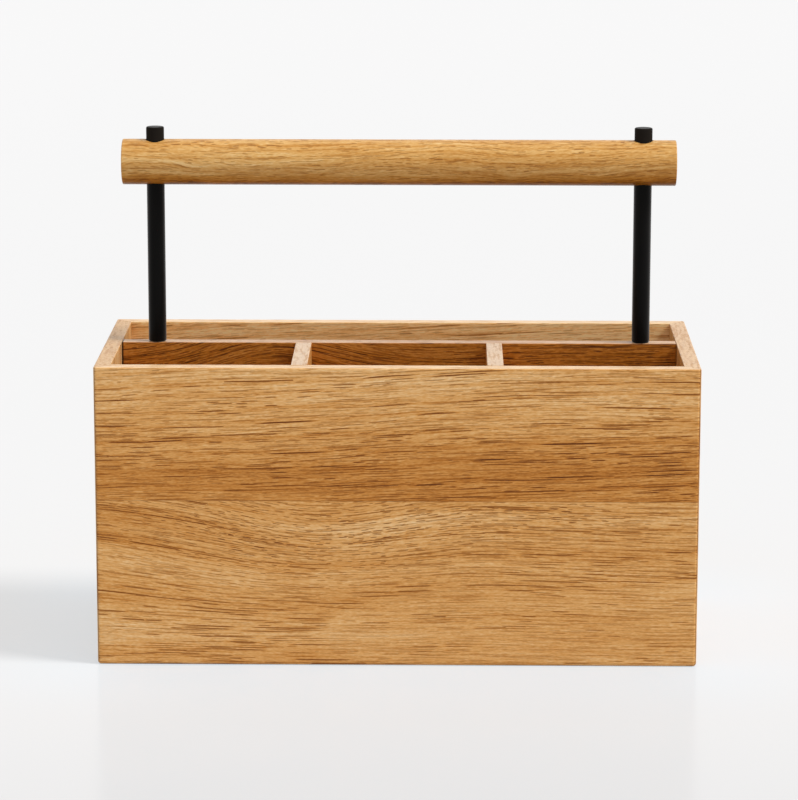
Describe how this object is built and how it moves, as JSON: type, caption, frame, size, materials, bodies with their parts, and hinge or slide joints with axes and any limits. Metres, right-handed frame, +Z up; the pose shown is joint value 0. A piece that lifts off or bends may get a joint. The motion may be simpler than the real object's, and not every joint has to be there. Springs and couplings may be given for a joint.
{
  "type": "utensil caddy",
  "caption": "Open wooden utensil caddy: a mitred box divided into compartments, with a round carrying bar on black metal posts.",
  "frame": {"origin": "centre of the box's footprint, on the surface the caddy stands on", "axes": "+X to the caddy's right as seen from the front, +Y to its rear, +Z up"},
  "size_m": [0.33, 0.146, 0.2884],
  "materials": {
    "oak": "oak boards, satin oil finish, open pores",
    "oak_panel": "oak-faced panel, satin oil finish",
    "oak_bar": "turned oak, satin oil finish",
    "hidden_wood": "plain hardwood, unfinished",
    "black_metal": "satin black coating",
    "plain_steel": "zinc-plated steel"
  },
  "bodies": {
    "root": {"front_panel_lower_stave": "oak", "front_panel_upper_stave": "oak", "back_panel_lower_stave": "oak", "back_panel_upper_stave": "oak", "left_side_front_stave": "oak", "left_side_rear_stave": "oak", "right_side_front_stave": "oak", "right_side_rear_stave": "oak", "centre_divider_lower_stave": "oak", "centre_divider_upper_stave": "oak", "left_cross_divider": "oak", "right_cross_divider": "oak", "bottom_panel": "oak_panel", "handle_bar": "oak_bar", "front_left_mitre_spline": "hidden_wood", "front_right_mitre_spline": "hidden_wood", "back_left_mitre_spline": "hidden_wood", "back_right_mitre_spline": "hidden_wood", "centre_divider_pins": "hidden_wood", "left_cross_divider_pins": "hidden_wood", "right_cross_divider_pins": "hidden_wood", "base_screws": "plain_steel", "left_post": "black_metal", "left_post_cap": "black_metal", "left_post_stud": "plain_steel", "right_post": "black_metal", "right_post_cap": "black_metal", "right_post_stud": "plain_steel"}
  },
  "joints": []
}
